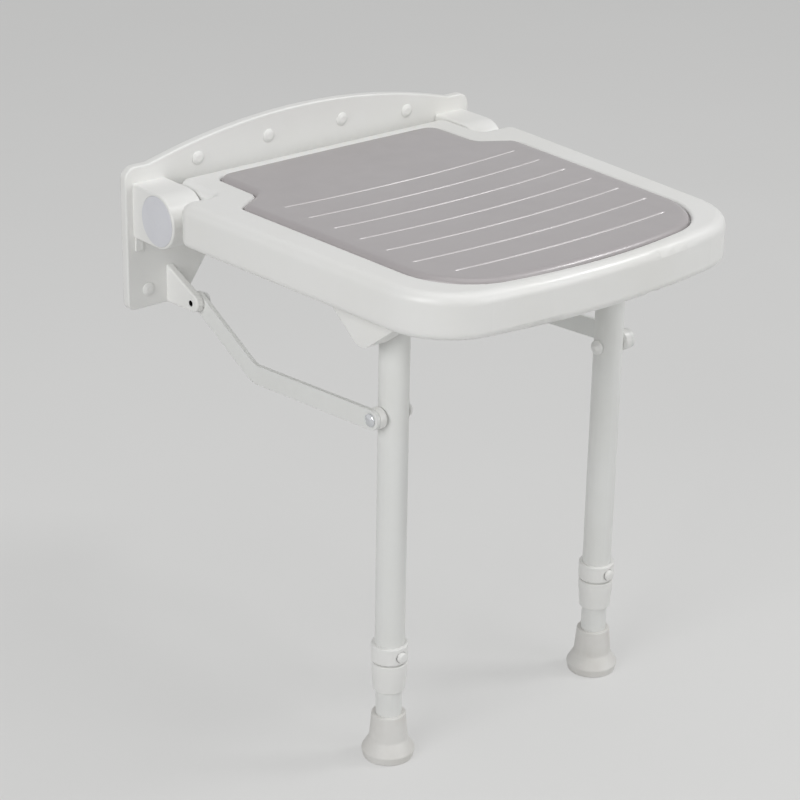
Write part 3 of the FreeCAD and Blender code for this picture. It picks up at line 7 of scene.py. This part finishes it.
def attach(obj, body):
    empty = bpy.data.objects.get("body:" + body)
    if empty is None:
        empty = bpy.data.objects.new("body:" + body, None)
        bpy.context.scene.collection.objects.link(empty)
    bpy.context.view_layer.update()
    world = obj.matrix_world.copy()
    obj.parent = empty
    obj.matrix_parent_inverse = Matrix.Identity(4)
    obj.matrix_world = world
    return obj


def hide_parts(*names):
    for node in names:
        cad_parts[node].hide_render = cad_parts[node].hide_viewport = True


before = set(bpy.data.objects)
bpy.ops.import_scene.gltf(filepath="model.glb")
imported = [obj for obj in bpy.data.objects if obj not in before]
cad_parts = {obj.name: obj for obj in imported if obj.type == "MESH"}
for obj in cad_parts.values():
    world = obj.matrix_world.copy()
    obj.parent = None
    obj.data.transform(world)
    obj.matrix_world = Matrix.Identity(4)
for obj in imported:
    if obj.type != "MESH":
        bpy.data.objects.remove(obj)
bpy.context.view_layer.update()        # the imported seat, in metres, at rest
mm = 0.001


# camera

cameraSetup = {
    "location": (-1.42213, -1.82704, 0.74715),
    "turn": 40.4275,         # degrees to the right of straight at the wall
    "tilt": -23.2779,        # degrees, below the horizon
    "roll": 1.0057,
    "lens": 110.078,         # mm
    "sensor": 36,            # mm
    "nearest": 0.05,         # metres, the reach of what the camera sees
    "farthest": 60,
}


def makeCamera(setup):
    camera = bpy.data.objects.new("camera", bpy.data.cameras.new("camera"))
    camera.data.sensor_width = setup["sensor"]
    camera.data.lens = setup["lens"]
    camera.data.clip_start = setup["nearest"]
    camera.data.clip_end = setup["farthest"]
    turned = Matrix.Rotation(-radians(setup["turn"]), 4, "Z")
    tilted = Matrix.Rotation(radians(90 + setup["tilt"]), 4, "X")
    rolled = Matrix.Rotation(radians(setup["roll"]), 4, "Z")
    camera.matrix_world = Matrix.Translation(setup["location"]) @ turned @ tilted @ rolled
    bpy.context.scene.collection.objects.link(camera)
    bpy.context.scene.camera = camera


makeCamera(cameraSetup)
print("camera placed")


# node helpers

nodeStart, nodeGap = -1800, 220      # where a tree's nodes stand in the editor


def addNode(tree, kind, inputs=None, **settings):
    node = tree.nodes.new(kind)
    for name, value in settings.items():
        setattr(node, name, value)
    for name, value in (inputs or {}).items():
        if isinstance(value, bpy.types.NodeSocket):
            tree.links.new(value, node.inputs[name])
        else:
            node.inputs[name].default_value = value
    node.location = (nodeStart + nodeGap * len(tree.nodes), 0)
    return node


def addMath(tree, operation, first, second=0.0, clamp=False):
    return addNode(tree, "ShaderNodeMath", {0: first, 1: second},
                   operation=operation, use_clamp=clamp).outputs[0]


def addMix(tree, share, first, second):
    return addNode(tree, "ShaderNodeMix", {0: share, 6: first, 7: second},
                   data_type="RGBA").outputs[2]


def addRange(tree, value, low, high, toLow=0.0, toHigh=1.0):
    return addNode(tree, "ShaderNodeMapRange", {
        "Value": value, "From Min": low, "From Max": high, "To Min": toLow, "To Max": toHigh,
    }).outputs["Result"]


def addNoise(tree, vector, scale, detail=2.0, roughness=0.5):
    return addNode(tree, "ShaderNodeTexNoise", {
        "Vector": vector, "Scale": scale, "Detail": detail, "Roughness": roughness,
    }).outputs["Fac"]


def startGroup(name, inputs, outputs):
    group = bpy.data.node_groups.new(name, "ShaderNodeTree")
    for label, kind, value in inputs:
        socket = group.interface.new_socket(label, in_out="INPUT", socket_type=kind)
        if value is not None:
            socket.default_value = value
    for label, kind in outputs:
        group.interface.new_socket(label, in_out="OUTPUT", socket_type=kind)
    source = addNode(group, "NodeGroupInput")
    target = addNode(group, "NodeGroupOutput")
    return group, source.outputs, target.inputs


def srgb(red, green, blue):
    def linear(value):
        value /= 255
        return value / 12.92 if value <= 0.04045 else ((value + 0.055) / 1.055) ** 2.4
    return (linear(red), linear(green), linear(blue), 1.0)


floatSocket = "NodeSocketFloat"
colourSocket = "NodeSocketColor"
vectorSocket = "NodeSocketVector"


# effects that several finishes share

toneShape = {
    "broadDetail": 4.0, "broadRoughness": 0.55, "broadRange": (0.42, 0.72),
    "patchShare": 5.3, "patchDetail": 3.0, "patchRange": (0.3, 0.7),
}
edgeShape = {
    "samples": 4, "cornerRange": (0.97, 0.75),
    "patchScale": 140.0, "patchDetail": 3.0, "patchRange": (0.35, 0.65),
}


def makeToneGroup(shape):    # slow changes of colour and gloss, from handling and age
    group, given, result = startGroup("slowTone", (
        ("Vector", vectorSocket, None),
        ("Color", colourSocket, None), ("Shade", colourSocket, None),
        ("Amount", floatSocket, 0.3), ("Spread", floatSocket, 12.0),
        ("Roughness", floatSocket, 0.4), ("Variation", floatSocket, 0.1),
    ), (("Color", colourSocket), ("Roughness", floatSocket)))
    broad = addNoise(group, given["Vector"], given["Spread"],
                     shape["broadDetail"], shape["broadRoughness"])
    spots = addRange(group, broad, *shape["broadRange"])
    share = addMath(group, "MULTIPLY", spots, given["Amount"], True)
    group.links.new(addMix(group, share, given["Color"], given["Shade"]), result["Color"])
    finer = addMath(group, "MULTIPLY", given["Spread"], shape["patchShare"])
    patchy = addNoise(group, given["Vector"], finer, shape["patchDetail"])
    patches = addRange(group, patchy, *shape["patchRange"], -0.5, 0.5)
    change = addMath(group, "MULTIPLY", patches, given["Variation"])
    group.links.new(addMath(group, "ADD", given["Roughness"], change, True), result["Roughness"])
    return group


def makeGrainGroup():    # fine pebbled skin over a wider soft ripple, both as a height
    group, given, result = startGroup("skinGrain", (
        ("Vector", vectorSocket, None),
        ("Grain Scale", floatSocket, 1500.0), ("Grain", floatSocket, 0.5),
        ("Ripple Scale", floatSocket, 160.0), ("Ripple", floatSocket, 0.5),
    ), (("Height", floatSocket),))
    pebble = addNode(group, "ShaderNodeTexVoronoi", {
        "Vector": given["Vector"], "Scale": given["Grain Scale"],
    }, feature="SMOOTH_F1").outputs["Distance"]
    fine = addMath(group, "MULTIPLY", pebble, given["Grain"])
    ripple = addNoise(group, given["Vector"], given["Ripple Scale"])
    wide = addMath(group, "MULTIPLY", ripple, given["Ripple"])
    group.links.new(addMath(group, "ADD", fine, wide), result["Height"])
    return group


def makeEdgeGroup(shape):    # softened corners, and a mask of where they are rubbed
    group, given, result = startGroup("softEdges", (
        ("Vector", vectorSocket, None),
        ("Radius", floatSocket, 0.0006), ("Wear", floatSocket, 0.3),
    ), (("Mask", floatSocket), ("Normal", vectorSocket)))
    rounded = addNode(group, "ShaderNodeBevel", {"Radius": given["Radius"]},
                      samples=shape["samples"]).outputs["Normal"]
    facing = addNode(group, "ShaderNodeNewGeometry").outputs["Normal"]
    along = addNode(group, "ShaderNodeVectorMath", {0: rounded, 1: facing},
                    operation="DOT_PRODUCT").outputs["Value"]
    turned = addRange(group, along, *shape["cornerRange"])
    uneven = addNoise(group, given["Vector"], shape["patchScale"], shape["patchDetail"])
    patchy = addRange(group, uneven, *shape["patchRange"])
    rubbed = addMath(group, "MULTIPLY", turned, patchy)
    worn = addMath(group, "MULTIPLY", rubbed, given["Wear"], True)
    group.links.new(worn, result["Mask"])
    group.links.new(rounded, result["Normal"])
    return group


slowTone = makeToneGroup(toneShape)
skinGrain = makeGrainGroup()
softEdges = makeEdgeGroup(edgeShape)


# finishes

def startFinish(name, values):
    material = bpy.data.materials.new(name)
    material.use_nodes = True
    tree = material.node_tree
    shader = tree.nodes["Principled BSDF"]
    for socket, value in values.get("shader", {}).items():
        shader.inputs[socket].default_value = value
    place = addNode(tree, "ShaderNodeTexCoord").outputs["Object"]
    return material, tree, shader, place


def addShared(tree, group, place, inputs):
    return addNode(tree, "ShaderNodeGroup", {"Vector": place, **inputs}, node_tree=group).outputs


def addRelief(tree, shader, values, inputs):
    relief = addNode(tree, "ShaderNodeBump", {
        "Strength": values["relief"], "Distance": values["reliefDepth"], **inputs,
    })
    tree.links.new(relief.outputs["Normal"], shader.inputs["Normal"])


def makeFinish(name, values):
    material, tree, shader, place = startFinish(name, values)
    tone = addShared(tree, slowTone, place, values["tone"])
    edges = addShared(tree, softEdges, place, values["edges"])
    grain = addShared(tree, skinGrain, place, values["grain"])
    rubbed = addMix(tree, edges["Mask"], tone["Color"], values["rubbed"])
    tree.links.new(rubbed, shader.inputs["Base Color"])
    tree.links.new(tone["Roughness"], shader.inputs["Roughness"])
    addRelief(tree, shader, values, {"Height": grain["Height"], "Normal": edges["Normal"]})
    return material


whitePlastic = makeFinish("whiteMouldedPlastic", {
    "tone": {"Color": srgb(238, 238, 236), "Shade": srgb(229, 228, 222),
             "Amount": 0.35, "Spread": 9.0, "Roughness": 0.33, "Variation": 0.08},
    "grain": {"Grain Scale": 1900.0, "Grain": 0.35, "Ripple Scale": 130.0, "Ripple": 0.8},
    "relief": 0.12, "reliefDepth": 0.0004,
    "edges": {"Radius": 0.0007, "Wear": 0.35},
    "rubbed": srgb(246, 246, 245),
    "shader": {"IOR": 1.49},
})
discPlastic = makeFinish("paleGreyDisc", {
    "tone": {"Color": srgb(222, 223, 228), "Shade": srgb(213, 214, 220),
             "Amount": 0.4, "Spread": 30.0, "Roughness": 0.32, "Variation": 0.08},
    "grain": {"Grain Scale": 2400.0, "Grain": 0.6, "Ripple Scale": 240.0, "Ripple": 0.4},
    "relief": 0.16, "reliefDepth": 0.0003,
    "edges": {"Radius": 0.0007, "Wear": 0.3},
    "rubbed": srgb(236, 237, 240),
    "shader": {"IOR": 1.46},
})
bearingPlastic = makeFinish("naturalBearingPlastic", {
    "tone": {"Color": srgb(232, 230, 222), "Shade": srgb(219, 215, 203),
             "Amount": 0.5, "Spread": 40.0, "Roughness": 0.4, "Variation": 0.1},
    "grain": {"Grain Scale": 1700.0, "Grain": 0.4, "Ripple Scale": 300.0, "Ripple": 0.5},
    "relief": 0.12, "reliefDepth": 0.0003,
    "edges": {"Radius": 0.0004, "Wear": 0.3},
    "rubbed": srgb(242, 240, 233),
    "shader": {"IOR": 1.48},
})
whitePaint = makeFinish("whitePowderCoat", {
    "tone": {"Color": srgb(233, 234, 232), "Shade": srgb(222, 222, 217),
             "Amount": 0.35, "Spread": 11.0, "Roughness": 0.36, "Variation": 0.08},
    "grain": {"Grain Scale": 1100.0, "Grain": 0.55, "Ripple Scale": 420.0, "Ripple": 0.8},
    "relief": 0.22, "reliefDepth": 0.0003,
    "edges": {"Radius": 0.0006, "Wear": 0.45},
    "rubbed": srgb(243, 243, 242),
    "shader": {"IOR": 1.5},
})
whiteRubber = makeFinish("whiteSoftRubber", {
    "tone": {"Color": srgb(227, 226, 223), "Shade": srgb(205, 202, 196),
             "Amount": 0.5, "Spread": 24.0, "Roughness": 0.55, "Variation": 0.12},
    "grain": {"Grain Scale": 1400.0, "Grain": 0.9, "Ripple Scale": 200.0, "Ripple": 0.4},
    "relief": 0.3, "reliefDepth": 0.0003,
    "edges": {"Radius": 0.0008, "Wear": 0.25},
    "rubbed": srgb(212, 209, 203),
    "shader": {"IOR": 1.45},
})
plainSteel = makeFinish("zincPlatedSteel", {
    "tone": {"Color": srgb(196, 198, 202), "Shade": srgb(168, 169, 170),
             "Amount": 0.6, "Spread": 60.0, "Roughness": 0.34, "Variation": 0.16},
    "grain": {"Grain Scale": 2600.0, "Grain": 0.5, "Ripple Scale": 700.0, "Ripple": 0.5},
    "relief": 0.15, "reliefDepth": 0.0002,
    "edges": {"Radius": 0.0003, "Wear": 0.5},
    "rubbed": srgb(226, 228, 231),
    "shader": {"Metallic": 1.0},
})
brightChrome = makeFinish("brightChrome", {
    "tone": {"Color": srgb(222, 224, 227), "Shade": srgb(198, 200, 204),
             "Amount": 0.3, "Spread": 90.0, "Roughness": 0.12, "Variation": 0.08},
    "grain": {"Grain Scale": 3000.0, "Grain": 0.1, "Ripple Scale": 500.0, "Ripple": 0.4},
    "relief": 0.05, "reliefDepth": 0.0002,
    "edges": {"Radius": 0.0004, "Wear": 0.2},
    "rubbed": srgb(240, 241, 243),
    "shader": {"Metallic": 1.0},
})


def makePadFinish(name, values):      # skinned foam, its channels painted pale as a painted highlight along the groove walls
    material, tree, shader, place = startFinish(name, values)
    tone = addShared(tree, slowTone, place, values["tone"])
    grain = addShared(tree, skinGrain, place, values["grain"])
    channel = addNode(tree, "ShaderNodeAttribute", attribute_name="channel").outputs["Fac"]
    # painted highlight: the channels are coloured near white to stand in for the light their walls
    # catch
    paintedHighlightShare = addMath(tree, "MULTIPLY", channel, values["channelHighlightShare"], True)
    colour = addMix(tree, paintedHighlightShare, tone["Color"], values["channelHighlightColour"])
    tree.links.new(colour, shader.inputs["Base Color"])
    smoother = addMath(tree, "MULTIPLY", channel, values["channelGloss"])
    roughness = addMath(tree, "SUBTRACT", tone["Roughness"], smoother, True)
    tree.links.new(roughness, shader.inputs["Roughness"])
    addRelief(tree, shader, values, {"Height": grain["Height"]})
    return material


padSkin = makePadFinish("greySkinnedFoam", {
    "tone": {"Color": srgb(171, 166, 167), "Shade": srgb(163, 158, 159),
             "Amount": 0.5, "Spread": 7.0, "Roughness": 0.35, "Variation": 0.08},
    "grain": {"Grain Scale": 1300.0, "Grain": 0.25, "Ripple Scale": 90.0, "Ripple": 0.5},
    "relief": 0.1, "reliefDepth": 0.0004,
    # the near-white channel colour is a painted highlight, not the foam's own colour
    "channelHighlightColour": srgb(236, 233, 233), "channelHighlightShare": 1.6, "channelGloss": 0.1,
    "shader": {"IOR": 1.5, "Coat Weight": 0.3, "Coat Roughness": 0.2},
})


def makeRivetFinish(name, values):    # the coated head, with painted shade in its deep bore
    material = makeFinish(name, values)
    tree = material.node_tree
    shader = tree.nodes["Principled BSDF"]
    place = addNode(tree, "ShaderNodeTexCoord").outputs["Object"]
    at = addNode(tree, "ShaderNodeSeparateXYZ", {0: place}).outputs
    depth = addMath(tree, "SUBTRACT", at["Y"], values["axisDepth"])
    rise = addMath(tree, "SUBTRACT", at["Z"], values["axisHeight"])
    squares = [addMath(tree, "MULTIPLY", off, off) for off in (depth, rise)]
    away = addMath(tree, "SQRT", addMath(tree, "ADD", *squares))
    # painted shade: inside the pin's bore radius the colour turns near black, where the real bore
    # lies in shadow
    paintedShadeMask = addRange(tree, away, values["boreEdge"], values["boreRadius"])
    plain = shader.inputs["Base Color"].links[0].from_socket
    colour = addMix(tree, paintedShadeMask, plain, values["paintedBoreShade"])
    tree.links.new(colour, shader.inputs["Base Color"])
    return material


rivetPaint = makeRivetFinish("whiteRivetCoat", {
    "tone": {"Color": srgb(236, 237, 236), "Shade": srgb(226, 226, 222),
             "Amount": 0.3, "Spread": 30.0, "Roughness": 0.3, "Variation": 0.08},
    "grain": {"Grain Scale": 1500.0, "Grain": 0.4, "Ripple Scale": 420.0, "Ripple": 0.5},
    "relief": 0.12, "reliefDepth": 0.0002,
    "edges": {"Radius": 0.0004, "Wear": 0.3},
    "rubbed": srgb(244, 244, 243),
    "shader": {"IOR": 1.5},
    "axisDepth": -0.047, "axisHeight": -0.0895,      # where the link's pin stands, in metres
    "boreEdge": 0.00305, "boreRadius": 0.00295,
    # near-black painted shade for the bore, not a dark material of the rivet
    "paintedBoreShade": srgb(22, 22, 23),
})

finishOfSlot = {
    "white_plastic": whitePlastic,
    "disc_plastic": discPlastic,
    "bearing_plastic": bearingPlastic,
    "seat_pad": padSkin,
    "white_paint": whitePaint,
    "white_rubber": whiteRubber,
    "steel": plainSteel,
    "chrome": brightChrome,
}
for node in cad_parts.values():
    for held in node.material_slots:
        held.material = finishOfSlot[held.material.name.split(".")[0]]
for side in ("left", "right"):
    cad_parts["link_rivet_" + side].material_slots[0].material = rivetPaint
print("finishes: %d materials on the packed parts" % len(finishOfSlot))


def addPiece(name, mesh, material):
    made = bpy.data.meshes.new(name)
    mesh.to_mesh(made)
    mesh.free()
    made.materials.append(material)
    piece = bpy.data.objects.new(name, made)
    bpy.context.scene.collection.objects.link(piece)
    return piece


# seat cushion

cushion = {
    "bottom": 23.45,         # heights above the hinge axis, mm
    "top": 31.8,
    "outline": (             # across, depth from the wall, corner radius, mm
        (135, 41, 16), (135, 108, 11), (168, 129, 11), (158, 405, 70), (0, 433, 560),
    ),
    "wideCorner": 50,        # a larger radius gets the second count of segments
    "cornerSegments": (10, 16),
    "edgeRadius": 7.5,
    "edgeSegments": 7,
    "crownRadius": 20000,
    "crownMiddle": 223,
    "channelEnds": (157, 193, 229.1, 265.1, 301.1, 337.2, 373.2),
    "channelHalf": 142,
    "lastHalf": 127,
    "bow": 9.0,
    "channelReach": 1.6,     # half width at the top, mm
    "channelDepth": 1.7,
    "endFade": 6.0,          # the last stretch, where a channel gets shallower
    "shoulderReach": 5.0,    # the soft roll beside each channel
    "shoulderDepth": 0.35,
}
cushionCuts = {              # lines that cut the faces finer, mm from the middle or from a channel
    "step": 6.5,
    "stepsAside": 26,
    "atEnds": (-1.4, -0.9, -0.45, 0.05, 0.6),
    "atChannel": (-4.5, -2.4, -1.5, -1.1, -0.75, -0.35, 0, 0.35, 0.75, 1.1, 1.5, 2.4, 4.5),
    "behindChannel": (-11.5, -18.1),
    "rearStart": 25,
    "rearShare": 1.5,        # of a step
    "rearCount": 12,
    "front": (11.5, 20, 29, 38),
    "topFacing": 0.99,       # a face whose normal rises more than this is part of the level top
    "lowestFacing": -0.9,    # a rolled edge's faces rise more than this
    "squareFacing": 0.25,    # and face along the cut no more than this
    "snap": 0.001,
    "topSlack": 0.01,
    "wallShare": (0.01, 0.999),
    "mergeReach": 0.000002,  # metres
    "sharpAngle": 50,        # degrees
}


def roundOff(mesh, items, offset, segments, kind):
    bmesh.ops.bevel(mesh, geom=items, offset=offset, offset_type="OFFSET", segments=segments,
                    profile=0.5, affect=kind, material=-1)


def roundCorner(mesh, corner, radius, segments):
    before, after = [edge.other_vert(corner).co - corner.co for edge in corner.link_edges]
    reach = radius / tan(before.angle(after) / 2)
    roundOff(mesh, [corner], reach, segments, "VERTICES")


def isSquareTo(face, axis, cuts):    # the level top, and rolled edges that a cut crosses squarely
    level = (face.normal.x ** 2 + face.normal.y ** 2) ** 0.5
    square = abs(face.normal[axis]) < cuts["squareFacing"] * level
    return face.normal.z > cuts["topFacing"] or (face.normal.z > cuts["lowestFacing"] and square)


def cutAt(mesh, axis, places, cuts):
    for place in places:
        point, normal = Vector((0, 0, 0)), Vector((0, 0, 0))
        point[axis], normal[axis] = place, 1
        mesh.normal_update()
        upper = [face for face in mesh.faces if isSquareTo(face, axis, cuts)]
        parts = set(upper)
        for face in upper:
            parts.update(face.edges)
            parts.update(face.verts)
        bmesh.ops.bisect_plane(mesh, geom=list(parts), dist=cuts["snap"],
                               plane_co=point, plane_no=normal)


def bowAt(across, values):
    return values["bow"] * (1 - (across / values["channelHalf"]) ** 2)


def crownDrop(vert, values, share):
    middle = vert.co.y + values["crownMiddle"]
    return share * (vert.co.x ** 2 + middle ** 2) / (2 * values["crownRadius"])


def shapeTop(vert, values, share):    # crown, channels and the soft roll beside them
    across, depth = vert.co.x, -vert.co.y
    drop = crownDrop(vert, values, share)
    channel = 0.0
    for ends in values["channelEnds"]:
        half = values["lastHalf"] if ends == values["channelEnds"][-1] else values["channelHalf"]
        off = depth - ends - bowAt(across, values)
        past = max(0.0, abs(across) - half + values["channelReach"])
        away = (off ** 2 + past ** 2) ** 0.5
        drop += values["shoulderDepth"] * exp(-(away / values["shoulderReach"]) ** 2)
        if away < values["channelReach"]:
            near = 1 - away / values["channelReach"]
            left = max(0.0, half + values["channelReach"] - abs(across))
            ending = min(1.0, left / values["endFade"])
            channel = max(channel, ending * near * near * (3 - 2 * near))
    vert.co.z -= drop + values["channelDepth"] * channel
    return channel


def startCushion(values):     # the outline, raised to its height and rolled along the top
    right = values["outline"]
    corners = list(right)
    corners += [(-across, depth, radius) for across, depth, radius in reversed(right[:-1])]
    mesh = bmesh.new()
    bottom = values["bottom"]
    verts = [mesh.verts.new((across, -depth, bottom)) for across, depth, radius in corners]
    mesh.faces.new(verts)
    for vert, (across, depth, radius) in zip(verts, corners):
        roundCorner(mesh, vert, radius, values["cornerSegments"][radius > values["wideCorner"]])
    raised = bmesh.ops.extrude_face_region(mesh, geom=list(mesh.faces), use_keep_orig=True)["geom"]
    topVerts = [item for item in raised if isinstance(item, bmesh.types.BMVert)]
    bmesh.ops.translate(mesh, verts=topVerts, vec=(0, 0, values["top"] - bottom))
    topEdges = [edge for edge in mesh.edges if all(vert in topVerts for vert in edge.verts)]
    roundOff(mesh, topEdges, values["edgeRadius"], values["edgeSegments"], "EDGES")
    bmesh.ops.recalc_face_normals(mesh, faces=mesh.faces)
    return mesh


def cutCushion(mesh, values, cuts):
    step = cuts["step"]
    across = [number * step for number in range(-cuts["stepsAside"], cuts["stepsAside"] + 1)]
    for half in (values["channelHalf"], values["lastHalf"]):
        across += [side * (half + off) for side in (-1, 1) for off in cuts["atEnds"]]
    cutAt(mesh, 0, across, cuts)
    for vert in mesh.verts:      # without the bow, straight cuts follow the channels
        vert.co.y += bowAt(vert.co.x, values)
    along = []
    for ends in values["channelEnds"]:
        along += [ends + off for off in cuts["atChannel"] + cuts["behindChannel"]]
    rear = values["channelEnds"][0] - cuts["rearStart"]
    along += [rear - number * step * cuts["rearShare"] for number in range(cuts["rearCount"])]
    along += [values["channelEnds"][-1] + off for off in cuts["front"]]
    cutAt(mesh, 1, [-place for place in along], cuts)
    for vert in mesh.verts:
        vert.co.y -= bowAt(vert.co.x, values)


def makeCushion(values, cuts):
    mesh = startCushion(values)
    cutCushion(mesh, values, cuts)
    bottom, top = values["bottom"], values["top"]
    lowest, highest = cuts["wallShare"]
    channel = mesh.verts.layers.float.new("channel")
    for vert in mesh.verts:
        share = (vert.co.z - bottom) / (top - bottom)
        onTop = vert.co.z > top - cuts["topSlack"]
        vert[channel] = shapeTop(vert, values, share) if onTop else 0.0
        if vert[channel] == 0.0 and lowest < share < highest:
            vert.co.z -= crownDrop(vert, values, share)
    bmesh.ops.scale(mesh, vec=(mm, mm, mm), verts=mesh.verts)
    bmesh.ops.remove_doubles(mesh, verts=mesh.verts, dist=cuts["mergeReach"])
    bmesh.ops.recalc_face_normals(mesh, faces=mesh.faces)
    for face in mesh.faces:
        face.smooth = True
    for edge in mesh.edges:
        edge.smooth = edge.calc_face_angle(0) < radians(cuts["sharpAngle"])
    return addPiece("seatCushion", mesh, padSkin)


seatCushion = makeCushion(cushion, cushionCuts)
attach(seatCushion, "seat")
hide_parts("seat_cushion")
print("cushion: %d faces" % len(seatCushion.data.polygons))


# floor, world and lamps

stage = {
    "floorHeight": -0.4746,
    "floorRadius": 9.0,
    "floorSegments": 96,
    "floorRoughness": 0.85,
    "floorColour": srgb(214, 214, 213),
    "floorShade": srgb(210, 210, 209),
    "shadeScale": 2.5,
    "shadeDetail": 3.0,
    "shadeRange": (0.3, 0.7),
    "floorGlow": srgb(226, 226, 225),
    "glowShare": 0.55,
    "ambient": 0.17,
    "background": srgb(224, 224, 224),
}
lampAim = (0, -0.2, -0.1)
lamps = {
    "keyLeft": {"location": (-2.4, -0.9, 1.1), "size": (1.5, 1.5), "power": 36},
    "edgeRight": {"location": (1.75, -1.25, 1.95), "size": (0.6, 0.35), "power": 22},
    "softTop": {"location": (0.1, -0.5, 2.5), "size": (2.0, 2.0), "power": 14},
    "frontFill": {"location": (1.0, -2.7, 0.7), "size": (1.4, 1.4), "power": 17},
}


def raySeen(tree):       # 1 where the picture, a reflection or a view through glass looks
    seen = addNode(tree, "ShaderNodeLightPath").outputs
    direct = addMath(tree, "ADD", seen["Is Camera Ray"], seen["Is Glossy Ray"])
    return addMath(tree, "ADD", direct, seen["Is Transmission Ray"], True)


def makeFloor(values):
    material = bpy.data.materials.new("paleFloor")
    material.use_nodes = True
    tree = material.node_tree
    shader = tree.nodes["Principled BSDF"]
    shader.inputs["Roughness"].default_value = values["floorRoughness"]
    place = addNode(tree, "ShaderNodeTexCoord").outputs["Object"]
    cloud = addNoise(tree, place, values["shadeScale"], values["shadeDetail"])
    tone = addRange(tree, cloud, *values["shadeRange"])
    colour = addMix(tree, tone, values["floorColour"], values["floorShade"])
    tree.links.new(colour, shader.inputs["Base Color"])
    glow = addNode(tree, "ShaderNodeEmission", {"Color": values["floorGlow"]})
    share = addMath(tree, "MULTIPLY", raySeen(tree), values["glowShare"])
    both = addNode(tree, "ShaderNodeMixShader", {
        0: share, 1: shader.outputs[0], 2: glow.outputs[0],
    })
    tree.links.new(both.outputs[0], tree.nodes["Material Output"].inputs["Surface"])
    mesh = bmesh.new()
    bmesh.ops.create_circle(mesh, cap_ends=True, segments=values["floorSegments"],
                            radius=values["floorRadius"])
    bmesh.ops.translate(mesh, verts=mesh.verts, vec=(0, 0, values["floorHeight"]))
    floor = addPiece("floor", mesh, material)


def makeWorld(values):
    world = bpy.data.worlds.new("softStudio")
    world.use_nodes = True
    bpy.context.scene.world = world
    tree = world.node_tree
    tree.nodes.clear()
    light = addNode(tree, "ShaderNodeBackground", {
        "Color": (1, 1, 1, 1), "Strength": values["ambient"],
    })
    pale = addNode(tree, "ShaderNodeBackground", {"Color": values["background"], "Strength": 1.0})
    both = addNode(tree, "ShaderNodeMixShader", {
        0: raySeen(tree), 1: light.outputs[0], 2: pale.outputs[0],
    })
    addNode(tree, "ShaderNodeOutputWorld", {"Surface": both.outputs[0]})


def makeLamps(setups, target):
    for name, values in setups.items():
        data = bpy.data.lights.new(name, "AREA")
        data.shape = "RECTANGLE"
        data.size, data.size_y = values["size"]
        data.energy = values["power"]
        lamp = bpy.data.objects.new(name, data)
        lamp.location = values["location"]
        aim = Vector(target) - lamp.location
        lamp.rotation_euler = aim.to_track_quat("-Z", "Y").to_euler()
        bpy.context.scene.collection.objects.link(lamp)


makeFloor(stage)
makeWorld(stage)
makeLamps(lamps, lampAim)
bpy.context.scene.view_settings.view_transform = "Standard"
print("stage and light set")

bpy.context.view_layer.update()
